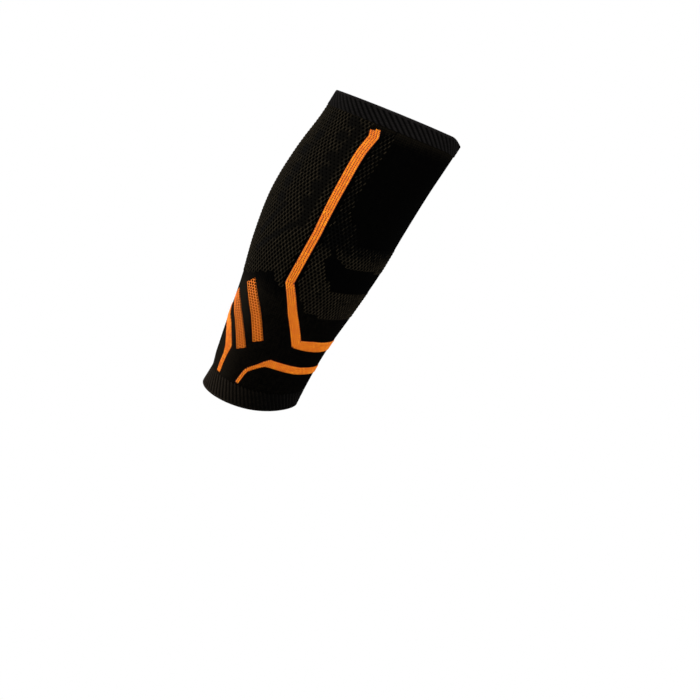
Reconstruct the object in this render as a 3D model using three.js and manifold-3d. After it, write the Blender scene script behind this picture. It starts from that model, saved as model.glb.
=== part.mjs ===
// Knitted calf compression sleeve, as it sits on a leg: a tapered tube with a double welt at the knee end,
// a ribbed cuff at the ankle end and coloured lines and mesh vents knitted into its wall.
// Millimetres. +Z runs up the leg to the knee, +X to the shin, -Y to the outer side of the leg.
// The origin is on the leg's axis at the widest part of the calf.

import * as THREE from 'three';
import { mergeVertices } from 'three/addons/utils/BufferGeometryUtils.js';
import Module from 'manifold-3d';

// Driving sizes
const sleeveHeight = 250; // between the middles of the two rims
const calfDepth = 108.4; // shin to back at the widest calf
const calfWidth = 107; // outer to inner side there
const seatShare = 0.65; // height of the widest calf, as a share of sleeveHeight

const wall = 1.8; // knitted wall of the body
const seamGap = 0.3; // between pieces that meet

const bandHeight = 12.8; // knee-end double welt
const bandWall = 2.8;
const bandProud = 0.5; // how far the welt stands out of the body
const bandEdge = 1.3; // rounding of its free edge

const cuffHeight = 15.6; // ankle-end ribbed cuff
const cuffWall = 2.4;
const cuffEdge = 0.8; // rounding of its free edge
const cuffRibs = 84;
const ribDepth = 0.6;
const cuffFlare = 1.8; // how far the free rim stands off the leg at the back
const cuffLean = 8.5; // how far a rib of the cuff drifts round to the back as it climbs
const cuffPinch = 1.0; // how far the tube draws in at the back where the cuff starts
const pinchReach = 10; // height over which the body draws in to it

const inlayDepth = 0.7; // knitted-in colour, its outer face flush with the body's
const inlayGap = 0.3; // around and behind it, in its channel
const cutProud = 2.0; // how far a channel's cutter stands out of the wall

const shinLineWidth = 6.9;
const shinFallWidth = 6.4; // on its slanted stretch
const shinBendWidth = 7.1; // where it turns forward
const shinArmWidth = 9; // across the shin
const ankleLineWidth = 6.3;
const ankleTailWidth = 3.1;
const ankleStepWidth = 4.2;
const backLineWidth = 7.6;
const backTailWidth = 4.6;
const ventTopWidth = 10.4;
const ventMiddleWidth = 8.4;
const ventFootWidth = 8;

// Section shape: 2 is an ellipse, less is more pointed
const shinPower = 1.85;
const calfPower = 2.13;

// Rims aren't level: the slopes are a rise towards the shin and towards the outer side, the dip is a
// saddle that lifts shin and back and drops both sides
const ankleRim = { shinRise: 0.225, outerRise: -0.15, dip: 1.8 };
const kneeRim = { shinRise: 0.1, outerRise: 0.015, dip: -0.5 };
const kneeDip = 4.2; // how far the knee rim gives way over the shin
const dipSide = 0.86; // cosine of the bearing where that starts
const dipStart = 0.9; // share of the height where it starts

// Sections from the ankle end up: height as a share of sleeveHeight, back and shin as shares of
// calfDepth, outer and inner as shares of calfWidth
const sections = [
  { height: 0.0, back: 0.352, shin: 0.321, outer: 0.29, inner: 0.299 },
  { height: 0.08, back: 0.373, shin: 0.318, outer: 0.299, inner: 0.304 },
  { height: 0.2, back: 0.415, shin: 0.329, outer: 0.327, inner: 0.336 },
  { height: 0.35, back: 0.465, shin: 0.374, outer: 0.388, inner: 0.407 },
  { height: 0.5, back: 0.533, shin: 0.413, outer: 0.453, inner: 0.481 },
  { height: 0.65, back: 0.57, shin: 0.43, outer: 0.486, inner: 0.514 },
  { height: 0.8, back: 0.544, shin: 0.452, outer: 0.491, inner: 0.505 },
  { height: 0.92, back: 0.496, shin: 0.478, outer: 0.481, inner: 0.486 },
  { height: 1.0, back: 0.48, shin: 0.49, outer: 0.477, inner: 0.481 },
];

// Paths of the coloured lines: around is a share of the way round, 0 at the shin, 0.25 on the outer
// side and 0.5 at the back; height is a share of sleeveHeight. Each is mirrored to the inner side.
const shinLine = [
  { around: 0.273, height: 0.931, width: shinLineWidth },
  { around: 0.266, height: 0.882, width: shinLineWidth },
  { around: 0.262, height: 0.646, width: shinLineWidth },
  { around: 0.2762, height: 0.4223, width: shinFallWidth },
  { around: 0.2335, height: 0.3352, width: shinFallWidth },
  { around: 0.1753, height: 0.2398, width: shinBendWidth },
  { around: 0.125, height: 0.236, width: shinArmWidth },
  { around: 0.09, height: 0.2324, width: shinArmWidth },
  { around: 0, height: 0.228, width: shinArmWidth },
];
const ankleLine = [
  { around: 0.303, height: 0.0668, width: ankleTailWidth },
  { around: 0.2914, height: 0.105, width: ankleTailWidth },
  { around: 0.2847, height: 0.1183, width: ankleTailWidth },
  { around: 0.2617, height: 0.1362, width: ankleTailWidth },
  { around: 0.2395, height: 0.1525, width: ankleStepWidth },
  { around: 0.2235, height: 0.1594, width: ankleLineWidth },
  { around: 0.19, height: 0.1563, width: ankleLineWidth },
  { around: 0.12, height: 0.1465, width: ankleLineWidth },
  { around: 0, height: 0.138, width: ankleLineWidth },
];
const backLine = [
  { around: 0.4024, height: 0.07, width: backTailWidth },
  { around: 0.394, height: 0.13, width: backTailWidth },
  { around: 0.3891, height: 0.1587, width: backLineWidth },
  { around: 0.4025, height: 0.1812, width: backLineWidth },
  { around: 0.4272, height: 0.2136, width: backLineWidth },
  { around: 0.4706, height: 0.2392, width: backLineWidth },
  { around: 0.5, height: 0.252, width: backLineWidth },
];
const ventStripes = [
  [
    { around: 0.3933, height: 0.3772, width: ventTopWidth },
    { around: 0.3314, height: 0.29, width: ventMiddleWidth },
    { around: 0.2897, height: 0.2153, width: ventFootWidth },
  ],
  [
    { around: 0.4602, height: 0.3144, width: ventTopWidth },
    { around: 0.4228, height: 0.2868, width: ventTopWidth },
    { around: 0.3874, height: 0.2517, width: ventMiddleWidth },
    { around: 0.3619, height: 0.2171, width: ventFootWidth },
    { around: 0.3343, height: 0.1733, width: ventFootWidth },
  ],
];

// Faceting
const bodyFacets = 48;
const bodyRings = 14;
const liningRings = 6;
const bandFacets = 60;
const girthSamples = 90;
const stepAround = 4; // along a line that runs round the leg, where the wall curves most
const stepUp = 14; // along a line that runs up it

const bandShare = bandHeight / sleeveHeight;
const cuffShare = cuffHeight / sleeveHeight;
const gapShare = seamGap / sleeveHeight;

function mix(low, high, share) {
  return low + (high - low) * share;
}

// Smooth curve through one column of the section table
function sectionValue(column, height) {
  const last = sections.length - 1;
  const rise = (row) => (sections[row + 1][column] - sections[row][column]) / span(row);
  const span = (row) => sections[row + 1].height - sections[row].height;
  const slope = (row) => {
    if (row === 0) return rise(0);
    if (row === last) return rise(last - 1);
    return (rise(row - 1) * span(row) + rise(row) * span(row - 1)) / (span(row - 1) + span(row));
  };
  let row = 0;
  while (row < last - 1 && height > sections[row + 1].height) row += 1;
  const t = (height - sections[row].height) / span(row);
  const startWeight = 1 - t * t * (3 - 2 * t);
  return startWeight * sections[row][column]
    + (1 - startWeight) * sections[row + 1][column]
    + t * (1 - t) * (1 - t) * span(row) * slope(row)
    - t * t * (1 - t) * span(row) * slope(row + 1);
}

function sectionAt(height) {
  return {
    back: sectionValue('back', height) * calfDepth,
    shin: sectionValue('shin', height) * calfDepth,
    outer: sectionValue('outer', height) * calfWidth,
    inner: sectionValue('inner', height) * calfWidth,
  };
}

// Point of a section's outline: angle 0 is the shin, PI the back; side is -1 outer, 1 inner
function outlinePoint(section, side, angle, offset) {
  const cosine = Math.cos(angle);
  const power = cosine >= 0 ? shinPower : calfPower;
  const depth = (cosine >= 0 ? section.shin : section.back) + offset;
  const breadth = (side < 0 ? section.outer : section.inner) + offset;
  const x = Math.sign(cosine) * depth * Math.abs(cosine) ** (2 / power);
  const y = side * breadth * Math.abs(Math.sin(angle)) ** (2 / power);
  return { x, y };
}

// Running length of half an outline, so that points can be placed by their share of the way round
const lengthTables = new Map();
function lengthTable(height, side) {
  const key = `${height} ${side}`;
  if (!lengthTables.has(key)) {
    const section = sectionAt(height);
    const lengths = [0];
    let last = outlinePoint(section, side, 0, 0);
    for (let i = 1; i <= girthSamples; i += 1) {
      const next = outlinePoint(section, side, (Math.PI * i) / girthSamples, 0);
      lengths.push(lengths[i - 1] + Math.hypot(next.x - last.x, next.y - last.y));
      last = next;
    }
    lengthTables.set(key, lengths);
  }
  return lengthTables.get(key);
}

function girthAt(height) {
  return lengthTable(height, -1)[girthSamples] + lengthTable(height, 1)[girthSamples];
}

function angleAt(around, height) {
  const turn = around - Math.floor(around);
  const side = turn <= 0.5 ? -1 : 1;
  const lengths = lengthTable(height, side);
  const goal = 2 * Math.min(turn, 1 - turn) * lengths[girthSamples];
  let i = 0;
  while (i < girthSamples - 1 && lengths[i + 1] < goal) i += 1;
  const share = (goal - lengths[i]) / (lengths[i + 1] - lengths[i]);
  return { side, angle: (Math.PI * (i + share)) / girthSamples };
}

// The tube draws in at the back above the cuff and flares at the cuff's free rim
function rearOffset(height, angle) {
  const rearness = 0.5 - 0.5 * Math.cos(angle);
  if (height <= cuffShare) return rearness * mix(cuffFlare, -cuffPinch, height / cuffShare);
  const fade = Math.max(0, 1 - ((height - cuffShare) * sleeveHeight) / pinchReach);
  return -rearness * cuffPinch * fade;
}

// Every point of the sleeve: share round, share of the height, distance out of the body's outer face
function sleevePoint(around, height, offset) {
  const section = sectionAt(height);
  const { side, angle } = angleAt(around, height);
  const { x, y } = outlinePoint(section, side, angle, offset + rearOffset(height, angle));
  const bearing = Math.atan2(
    y / ((section.outer + section.inner) / 2),
    x / ((section.back + section.shin) / 2),
  );
  const z = (height - seatShare) * sleeveHeight
    + mix(ankleRim.shinRise, kneeRim.shinRise, height) * x
    - mix(ankleRim.outerRise, kneeRim.outerRise, height) * y
    + mix(ankleRim.dip, kneeRim.dip, height) * Math.cos(2 * bearing)
    - kneeDip * Math.max(0, (Math.cos(bearing) - dipSide) / (1 - dipSide)) ** 2
      * Math.max(0, (height - dipStart) / (1 - dipStart));
  return new THREE.Vector3(x, y, z);
}

// A closed mesh from a grid of points: rows wrap into a tube's wall, columns wrap or end in caps
function gridGeometry(rows, columnsWrap) {
  const positions = [];
  const indices = [];
  const count = rows[0].length;
  rows.forEach((row) => row.forEach((point) => positions.push(point.x, point.y, point.z)));
  const at = (row, column) => (row % rows.length) * count + (column % count);
  const columns = columnsWrap ? count : count - 1;
  for (let row = 0; row < rows.length; row += 1) {
    for (let column = 0; column < columns; column += 1) {
      indices.push(at(row, column), at(row, column + 1), at(row + 1, column + 1));
      indices.push(at(row, column), at(row + 1, column + 1), at(row + 1, column));
    }
  }
  if (!columnsWrap) {
    const half = rows.length / 2;
    [0, count - 1].forEach((column) => {
      for (let row = 0; row < half - 1; row += 1) {
        const mate = rows.length - 1 - row;
        const quad = [at(row, column), at(row + 1, column), at(mate - 1, column), at(mate, column)];
        if (column !== 0) quad.reverse();
        indices.push(quad[0], quad[1], quad[2], quad[0], quad[2], quad[3]);
      }
    });
  }
  const geometry = new THREE.BufferGeometry();
  geometry.setAttribute('position', new THREE.Float32BufferAttribute(positions, 3));
  geometry.setIndex(indices);
  return facingOut(geometry);
}

function signedVolume(geometry) {
  const position = geometry.getAttribute('position');
  const index = geometry.getIndex();
  const corners = [new THREE.Vector3(), new THREE.Vector3(), new THREE.Vector3()];
  let volume = 0;
  for (let i = 0; i < index.count; i += 3) {
    corners.forEach((corner, k) => corner.fromBufferAttribute(position, index.getX(i + k)));
    volume += corners[0].dot(corners[1].clone().cross(corners[2])) / 6;
  }
  return volume;
}

function facingOut(geometry) {
  if (signedVolume(geometry) < 0) {
    const index = geometry.getIndex();
    for (let i = 0; i < index.count; i += 3) {
      const second = index.getX(i + 1);
      index.setX(i + 1, index.getX(i + 2));
      index.setX(i + 2, second);
    }
  }
  return geometry;
}

// A ring all the way round, its cross-section given as heights and offsets that close on themselves
function wrapGeometry(profile, facets, offsetAt = () => 0, driftAt = () => 0) {
  const rows = profile.map(({ height, offset, ribbed }) => {
    const row = [];
    for (let i = 0; i < facets; i += 1) {
      const extra = ribbed ? offsetAt(i) : 0;
      row.push(sleevePoint((i / facets + driftAt(height)) % 1, height, offset + extra));
    }
    return row;
  });
  return gridGeometry(rows, true);
}

function bodyGeometry() {
  const bottom = cuffShare + gapShare / 2;
  const top = 1 - bandShare - gapShare / 2;
  const profile = [];
  for (let i = 0; i <= bodyRings; i += 1) {
    profile.push({ height: mix(bottom, top, i / bodyRings), offset: 0 });
  }
  for (let i = 0; i <= liningRings; i += 1) {
    profile.push({ height: mix(top, bottom, i / liningRings), offset: -wall });
  }
  return wrapGeometry(profile, bodyFacets);
}

// Free edge rounded over to half a circle or less, as points from the outer to the inner face
function roundedEdge(edgeHeight, inward, radius, outerOffset, innerOffset) {
  const steps = 2;
  const points = [];
  for (let i = 0; i <= steps; i += 1) {
    const turn = (Math.PI / 2) * (i / steps);
    const drop = (radius * (1 - Math.sin(turn))) / sleeveHeight;
    points.push({ height: edgeHeight + inward * drop, offset: outerOffset - radius * (1 - Math.cos(turn)) });
  }
  const back = points.map(({ height, offset }) => ({ height, offset: innerOffset + outerOffset - offset }));
  return [...points, ...back.reverse()];
}

function bandGeometry() {
  const bottom = 1 - bandShare + gapShare / 2;
  const outerOffset = bandProud;
  const innerOffset = bandProud - bandWall;
  const profile = [
    { height: bottom, offset: outerOffset },
    { height: mix(bottom, 1, 0.5), offset: outerOffset },
    ...roundedEdge(1, -1, bandEdge, outerOffset, innerOffset),
    { height: bottom, offset: innerOffset },
  ];
  return wrapGeometry(profile, bandFacets);
}

function cuffGeometry() {
  const top = cuffShare - gapShare / 2;
  const innerOffset = -cuffWall;
  const edge = cuffEdge / sleeveHeight;
  const profile = [
    { height: top, offset: 0, ribbed: true },
    { height: mix(top, edge, 0.5), offset: 0, ribbed: true },
    { height: edge, offset: 0, ribbed: true },
    { height: 0, offset: -cuffEdge },
    { height: 0, offset: innerOffset + cuffEdge },
    { height: edge, offset: innerOffset },
    { height: mix(top, edge, 0.5), offset: innerOffset },
    { height: top, offset: innerOffset },
  ];
  const ridge = (i) => (i % 2 === 0 ? 0 : -ribDepth);
  const drift = (height) => (cuffLean / girthAt(cuffShare / 2)) * (height / cuffShare);
  return wrapGeometry(profile, cuffRibs * 2, ridge, drift);
}

// The outer half of a path and its mirror on the inner side, as one path through the middle
function mirrored(path) {
  const middle = path[path.length - 1].around;
  const far = path.slice(0, -1).reverse();
  return [...path, ...far.map((point) => ({ ...point, around: 2 * middle - point.around }))];
}

function flipped(path) {
  return path.map((point) => ({ ...point, around: 1 - point.around }));
}

// Path points unrolled to millimetres near the point itself
function stepBetween(from, to) {
  const girth = girthAt((from.height + to.height) / 2);
  return new THREE.Vector2((to.around - from.around) * girth, (to.height - from.height) * sleeveHeight);
}

// Cross-lines of a ribbon: left and right ends at each step along the path, mitred at its corners
function ribbonLines(path, margin) {
  const corners = path.map((point, i) => {
    const before = i > 0 ? stepBetween(path[i - 1], point) : stepBetween(point, path[i + 1]);
    const after = i < path.length - 1 ? stepBetween(point, path[i + 1]) : before;
    const along = before.clone().normalize().add(after.clone().normalize()).normalize();
    const side = new THREE.Vector2(-along.y, along.x);
    const mitre = 1 / Math.max(0.5, Math.abs(side.dot(new THREE.Vector2(-after.y, after.x).normalize())));
    const reach = (point.width / 2 + margin) * mitre;
    let end = 0;
    if (i === 0) end = -margin;
    if (i === path.length - 1) end = margin;
    const girth = girthAt(point.height);
    const place = (sideways) => ({
      around: point.around + (side.x * sideways + along.x * end) / girth,
      height: point.height + (side.y * sideways + along.y * end) / sleeveHeight,
    });
    return { left: place(reach), right: place(-reach) };
  });
  const lines = [];
  for (let i = 0; i < corners.length - 1; i += 1) {
    const reach = stepBetween(path[i], path[i + 1]);
    const steps = Math.ceil(Math.abs(reach.x) / stepAround + Math.abs(reach.y) / stepUp);
    for (let k = 0; k < steps; k += 1) {
      lines.push(lineBetween(corners[i], corners[i + 1], k / steps));
    }
  }
  lines.push(corners[corners.length - 1]);
  return lines;
}

function lineBetween(from, to, share) {
  const blend = (a, b) => ({ around: mix(a.around, b.around, share), height: mix(a.height, b.height, share) });
  return { left: blend(from.left, to.left), right: blend(from.right, to.right) };
}

// A ribbon that follows the wall, with an outer and an inner face
function ribbonGeometry(path, margin, outerOffset, innerOffset) {
  const lines = ribbonLines(path, margin);
  const edge = (side, offset) => lines.map((line) => sleevePoint(line[side].around, line[side].height, offset));
  const rows = [
    edge('left', outerOffset),
    edge('right', outerOffset),
    edge('right', innerOffset),
    edge('left', innerOffset),
  ];
  return gridGeometry(rows, false);
}

const wasm = await Module();
wasm.setup();

function toSolid(geometry) {
  const merged = mergeVertices(geometry);
  return new wasm.Manifold(new wasm.Mesh({
    numProp: 3,
    vertProperties: new Float32Array(merged.getAttribute('position').array),
    triVerts: new Uint32Array(merged.getIndex().array),
  }));
}

function toGeometry(solid) {
  const mesh = solid.getMesh();
  const geometry = new THREE.BufferGeometry();
  geometry.setAttribute('position', new THREE.Float32BufferAttribute(mesh.vertProperties, 3));
  geometry.setIndex(new THREE.Uint32BufferAttribute(mesh.triVerts, 1));
  return geometry;
}

function knit(color, roughness) {
  return new THREE.MeshStandardMaterial({ color, roughness, metalness: 0 });
}

const inlays = [
  { name: 'shin_line', path: mirrored(shinLine) },
  { name: 'ankle_line', path: mirrored(ankleLine) },
  { name: 'back_line', path: mirrored(backLine) },
];
ventStripes.forEach((path, i) => {
  inlays.push({ name: `outer_vent_${i + 1}`, path });
  inlays.push({ name: `inner_vent_${i + 1}`, path: flipped(path) });
});

const sleeve = new THREE.Group();

function addPiece(name, geometry, material) {
  const piece = new THREE.Mesh(geometry, material);
  piece.name = name;
  sleeve.add(piece);
}

let body = toSolid(bodyGeometry());
inlays.forEach(({ path }) => {
  body = body.subtract(toSolid(ribbonGeometry(path, inlayGap, cutProud, -inlayDepth - inlayGap)));
});
addPiece('sleeve_body', toGeometry(body), knit(0x0b0b0b, 0.9));
addPiece('top_band', bandGeometry(), knit(0x141416, 0.88));
addPiece('bottom_cuff', cuffGeometry(), knit(0x121212, 0.9));
inlays.forEach(({ name, path }) => {
  addPiece(name, ribbonGeometry(path, 0, 0, -inlayDepth), knit(0xe87e16, 0.8));
});

export default sleeve;
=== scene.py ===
# Knitted calf compression sleeve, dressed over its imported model. Metres, +Z up the leg, +X to the shin.
import math

import bpy
import numpy as np
from mathutils import Matrix, Vector


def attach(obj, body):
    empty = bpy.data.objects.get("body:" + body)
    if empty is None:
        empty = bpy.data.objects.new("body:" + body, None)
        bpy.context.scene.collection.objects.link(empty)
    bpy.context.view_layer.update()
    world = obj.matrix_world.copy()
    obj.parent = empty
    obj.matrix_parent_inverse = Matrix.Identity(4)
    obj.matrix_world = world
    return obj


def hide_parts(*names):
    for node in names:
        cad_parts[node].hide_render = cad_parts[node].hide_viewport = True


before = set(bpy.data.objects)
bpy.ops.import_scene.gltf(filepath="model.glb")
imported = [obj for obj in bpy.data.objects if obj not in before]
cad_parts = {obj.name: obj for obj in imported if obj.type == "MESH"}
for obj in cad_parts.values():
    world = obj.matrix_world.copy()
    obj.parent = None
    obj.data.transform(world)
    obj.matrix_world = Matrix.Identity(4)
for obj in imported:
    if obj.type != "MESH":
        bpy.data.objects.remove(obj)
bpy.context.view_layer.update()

mm = 0.001

# The worn form: the sections and sizes of the frame's solids, but for a slightly rounder cuff edge
sleeve = {
    "height": 250 * mm,  # between the middles of the rims
    "calfDepth": 108.4 * mm,
    "calfWidth": 107 * mm,
    "seatShare": 0.65,
    "wall": 1.8 * mm,
    "bandHeight": 12.8 * mm,
    "bandWall": 2.8 * mm,
    "bandProud": 0.5 * mm,
    "bandEdge": 1.3 * mm,
    "cuffHeight": 15.6 * mm,
    "cuffWall": 2.4 * mm,
    "cuffEdge": 0.9 * mm,
    "cuffFlare": 1.8 * mm,
    "cuffPinch": 1.0 * mm,
    "pinchReach": 10 * mm,
    "shinPower": 1.85,
    "calfPower": 2.13,
    "ankleRim": (0.225, -0.15, 1.8 * mm),  # rise to the shin, rise to the outer side, saddle
    "kneeRim": (0.1, 0.015, -0.5 * mm),
    "kneeDip": 4.2 * mm,  # the rim gives way over the shin
    "dipReach": (0.86, 0.9),  # cosine of its bearing and share of the height where the dip starts
}
sections = np.array([
    # height, back, shin, outer, inner
    (0.00, 0.352, 0.321, 0.290, 0.299),
    (0.08, 0.373, 0.318, 0.299, 0.304),
    (0.20, 0.415, 0.329, 0.327, 0.336),
    (0.35, 0.465, 0.374, 0.388, 0.407),
    (0.50, 0.533, 0.413, 0.453, 0.481),
    (0.65, 0.570, 0.430, 0.486, 0.514),
    (0.80, 0.544, 0.452, 0.491, 0.505),
    (0.92, 0.496, 0.478, 0.481, 0.486),
    (1.00, 0.480, 0.490, 0.477, 0.481),
])
cuffShare = sleeve["cuffHeight"] / sleeve["height"]
bandShare = 1 - sleeve["bandHeight"] / sleeve["height"]


def sectionValue(column, height):
    x, y = sections[:, 0], sections[:, column]
    span = np.diff(x)
    rise = np.diff(y) / span
    slope = np.empty(len(x))
    slope[0], slope[-1] = rise[0], rise[-1]
    slope[1:-1] = (rise[:-1] * span[1:] + rise[1:] * span[:-1]) / (span[:-1] + span[1:])
    i = int(np.clip(np.searchsorted(x, height) - 1, 0, len(span) - 1))
    t = (height - x[i]) / span[i]
    ease = t * t * (3 - 2 * t)
    bend = t * (1 - t) * span[i] * ((1 - t) * slope[i] - t * slope[i + 1])
    return (1 - ease) * y[i] + ease * y[i + 1] + bend


# The surface is worked out once as a fine table, and every piece reads its points from there
table = {"around": 720, "up": 440, "low": -0.03, "high": 1.03, "samples": 180}


def sleeveRow(around, height):
    flat = min(max(height, 0.0), 1.0)
    depth, width = sleeve["calfDepth"], sleeve["calfWidth"]
    back = sectionValue(1, flat) * depth
    shin = sectionValue(2, flat) * depth
    sides = {-1: sectionValue(3, flat) * width, 1: sectionValue(4, flat) * width}
    turn = np.linspace(0, math.pi, table["samples"] + 1)
    onOuter = around <= 0.5
    angle = np.zeros(len(around))
    girth = 0
    for side, chosen in ((-1, onOuter), (1, ~onOuter)):
        x, y = outline(turn, back, shin, sides[side])
        length = np.concatenate([[0], np.cumsum(np.hypot(np.diff(x), np.diff(y)))])
        share = 2 * np.where(onOuter, around, 1 - around)[chosen]
        angle[chosen] = np.interp(share, length / length[-1], turn)
        girth += length[-1]
    offset = rearOffset(height, angle)
    breadth = np.where(onOuter, sides[-1], sides[1]) + offset
    x, y = outline(angle, back + offset, shin + offset, breadth)
    y = np.where(onOuter, -y, y)
    bearing = np.arctan2(y / ((sides[-1] + sides[1]) / 2), x / ((back + shin) / 2))
    low, high = np.array(sleeve["ankleRim"]), np.array(sleeve["kneeRim"])
    rise, outer, dip = low + (high - low) * height
    z = (height - sleeve["seatShare"]) * sleeve["height"] + rise * x - outer * y + dip * np.cos(2 * bearing)
    fromSide, fromBelow = sleeve["dipReach"]
    sideShare = np.clip((np.cos(bearing) - fromSide) / (1 - fromSide), 0, 1)
    z -= sleeve["kneeDip"] * sideShare ** 2 * np.clip((height - fromBelow) / (1 - fromBelow), 0, None)
    return np.stack([x, y, z], axis=1), girth


def outline(angle, back, shin, breadth):
    cosine = np.cos(angle)
    power = np.where(cosine >= 0, sleeve["shinPower"], sleeve["calfPower"])
    x = np.where(cosine >= 0, shin, -back) * np.abs(cosine) ** (2 / power)
    y = breadth * np.abs(np.sin(angle)) ** (2 / power)
    return x, y


def rearOffset(height, angle):  # drawn in at the back above the cuff, flared at its rim
    rear = 0.5 - 0.5 * np.cos(angle)
    if height <= cuffShare:
        share = height / cuffShare
        return rear * (sleeve["cuffFlare"] * (1 - share) - sleeve["cuffPinch"] * share)
    fade = max(0, 1 - (height - cuffShare) * sleeve["height"] / sleeve["pinchReach"])
    return -rear * sleeve["cuffPinch"] * fade


def sleeveTable():
    around = np.arange(table["around"]) / table["around"]
    heights = np.linspace(table["low"], table["high"], table["up"])
    rows = [sleeveRow(around, height) for height in heights]
    points = np.array([row[0] for row in rows])
    girths = np.array([row[1] for row in rows])
    sideways = np.roll(points, -1, axis=1) - np.roll(points, 1, axis=1)
    upward = np.gradient(points, axis=0)
    out = np.cross(upward, sideways)
    out /= np.linalg.norm(out, axis=2, keepdims=True)
    return heights, points, out, girths


tableHeights, tablePoints, tableOut, tableGirths = sleeveTable()


def tableAt(values, around, height):
    x = (np.asarray(around, float) % 1.0) * table["around"]
    span = table["high"] - table["low"]
    y = (np.asarray(height, float) - table["low"]) / span * (table["up"] - 1)
    i = np.floor(x).astype(int)
    j = np.clip(np.floor(y).astype(int), 0, table["up"] - 2)
    s, t = (x - i)[..., None], (y - j)[..., None]
    i, nextI = i % table["around"], (i + 1) % table["around"]
    low = values[j, i] * (1 - s) + values[j, nextI] * s
    high = values[j + 1, i] * (1 - s) + values[j + 1, nextI] * s
    return low * (1 - t) + high * t


def outAt(around, height):
    out = tableAt(tableOut, around, height)
    return out / np.linalg.norm(out, axis=-1, keepdims=True)


def onSleeve(around, height, offset=0.0):
    offset = np.broadcast_to(offset, np.broadcast(around, height).shape)
    return tableAt(tablePoints, around, height) + outAt(around, height) * offset[..., None]


def upAt(around, height, step=0.004):
    return onSleeve(around, height + step) - onSleeve(around, height - step)


def levelAt(around, height, step=0.002):
    level = onSleeve(around + step, height) - onSleeve(around - step, height)
    return level / np.linalg.norm(level, axis=1, keepdims=True)


def girthAt(height):
    return np.interp(height, tableHeights, tableGirths)


print("sleeve form: widest girth", round(float(tableGirths.max()) * 1000), "mm")


# Scene and mesh helpers
def addObject(name, data):
    item = bpy.data.objects.new(name, data)
    bpy.context.scene.collection.objects.link(item)
    return item


def facedOut(points, faces):  # turned over together where they face the leg
    a, b, c = (points[faces[:, k]] for k in (0, 1, 2))
    facing = (np.cross(b - a, c - b)[:, :2] * a[:, :2]).sum()
    return faces[:, ::-1] if facing < 0 else faces


def buildMesh(name, points, faces, corners=None, attributes=None):
    mesh = bpy.data.meshes.new(name)
    mesh.vertices.add(len(points))
    mesh.vertices.foreach_set("co", np.asarray(points, np.float32).ravel())
    if len(faces):
        sides = faces.shape[1]
        mesh.loops.add(faces.size)
        mesh.loops.foreach_set("vertex_index", faces.ravel().astype(np.int32))
        mesh.polygons.add(len(faces))
        mesh.polygons.foreach_set("loop_start", np.arange(0, faces.size, sides, dtype=np.int32))
    mesh.update(calc_edges=True)
    if corners is not None:
        layer = mesh.uv_layers.new(name="knit")
        layer.data.foreach_set("uv", np.asarray(corners, np.float32).ravel())
    for key, values in (attributes or {}).items():
        values = np.asarray(values, np.float32)
        kind = "FLOAT_VECTOR" if values.ndim == 2 else "FLOAT"
        attribute = mesh.attributes.new(key, kind, "POINT")
        attribute.data.foreach_set("vector" if values.ndim == 2 else "value", values.ravel())
    mesh.validate()
    mesh.shade_smooth()
    return addObject(name, mesh)


def tubeFaces(rows, columns, wrapRows=True):
    r = np.arange(rows if wrapRows else rows - 1)
    c = np.arange(columns)
    r, c = np.meshgrid(r, c, indexing="ij")
    at = lambda row, column: (row % rows) * columns + column % columns
    faces = np.stack([at(r, c), at(r + 1, c), at(r + 1, c + 1), at(r, c + 1)], axis=-1)
    return faces.reshape(-1, 4), r, c


# A tube wall as one closed shell: each row is a height with an offset for every column
def tubeWall(name, around, heights, offsets, attributes):
    rows, columns = offsets.shape
    grid = np.broadcast_to(around, (rows, columns))
    points = onSleeve(grid, heights[:, None] * np.ones(columns), offsets).reshape(-1, 3)
    faces, r, c = tubeFaces(rows, columns)
    shares = np.append(around, 1.0)
    left, right = shares[c], shares[c + 1]
    low, high = heights[r], heights[(r + 1) % rows]
    corners = np.stack([
        np.stack([left, low], -1), np.stack([left, high], -1),
        np.stack([right, high], -1), np.stack([right, low], -1),
    ], axis=2).reshape(-1, 2)
    flat = {key: value.reshape(-1) for key, value in attributes.items()}
    return buildMesh(name, points, faces, corners, flat)


# Node tree helpers
def newTree(name, kind, inputs, outputs):
    tree = bpy.data.node_groups.new(name, kind)
    for way, sockets in (("INPUT", inputs), ("OUTPUT", outputs)):
        for label, (socketKind, value) in sockets.items():
            socket = tree.interface.new_socket(label, in_out=way, socket_type=f"NodeSocket{socketKind}")
            if value is not None:
                socket.default_value = value
    return tree, tree.nodes.new("NodeGroupInput"), tree.nodes.new("NodeGroupOutput")


def geometryTree(name, inputs):
    geometry = {"Geometry": ("Geometry", None)}
    sockets = {label: ("Float", value) for label, value in inputs.items()}
    sockets["Material"] = ("Material", None)
    return newTree(name, "GeometryNodeTree", {**geometry, **sockets}, geometry)


def addNode(tree, kind, links=None, **settings):
    node = tree.nodes.new(kind)
    for key, value in settings.items():
        setattr(node, key, value)
    for key, value in (links or {}).items():
        if isinstance(value, bpy.types.NodeSocket):
            tree.links.new(value, node.inputs[key])
        else:
            node.inputs[key].default_value = value
    return node


def maths(tree, operation, *values):
    return addNode(tree, "ShaderNodeMath", dict(enumerate(values)), operation=operation).outputs[0]


def namedValue(tree, name, kind="FLOAT"):
    node = addNode(tree, "GeometryNodeInputNamedAttribute", {"Name": name}, data_type=kind)
    return node.outputs["Attribute"]


def endTree(tree, source, target, geometry):
    real = addNode(tree, "GeometryNodeRealizeInstances", {"Geometry": geometry})
    finish = addNode(tree, "GeometryNodeSetMaterial", {
        "Geometry": real.outputs["Geometry"],
        "Material": source.outputs["Material"],
    })
    tree.links.new(finish.outputs["Geometry"], target.inputs["Geometry"])


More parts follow.
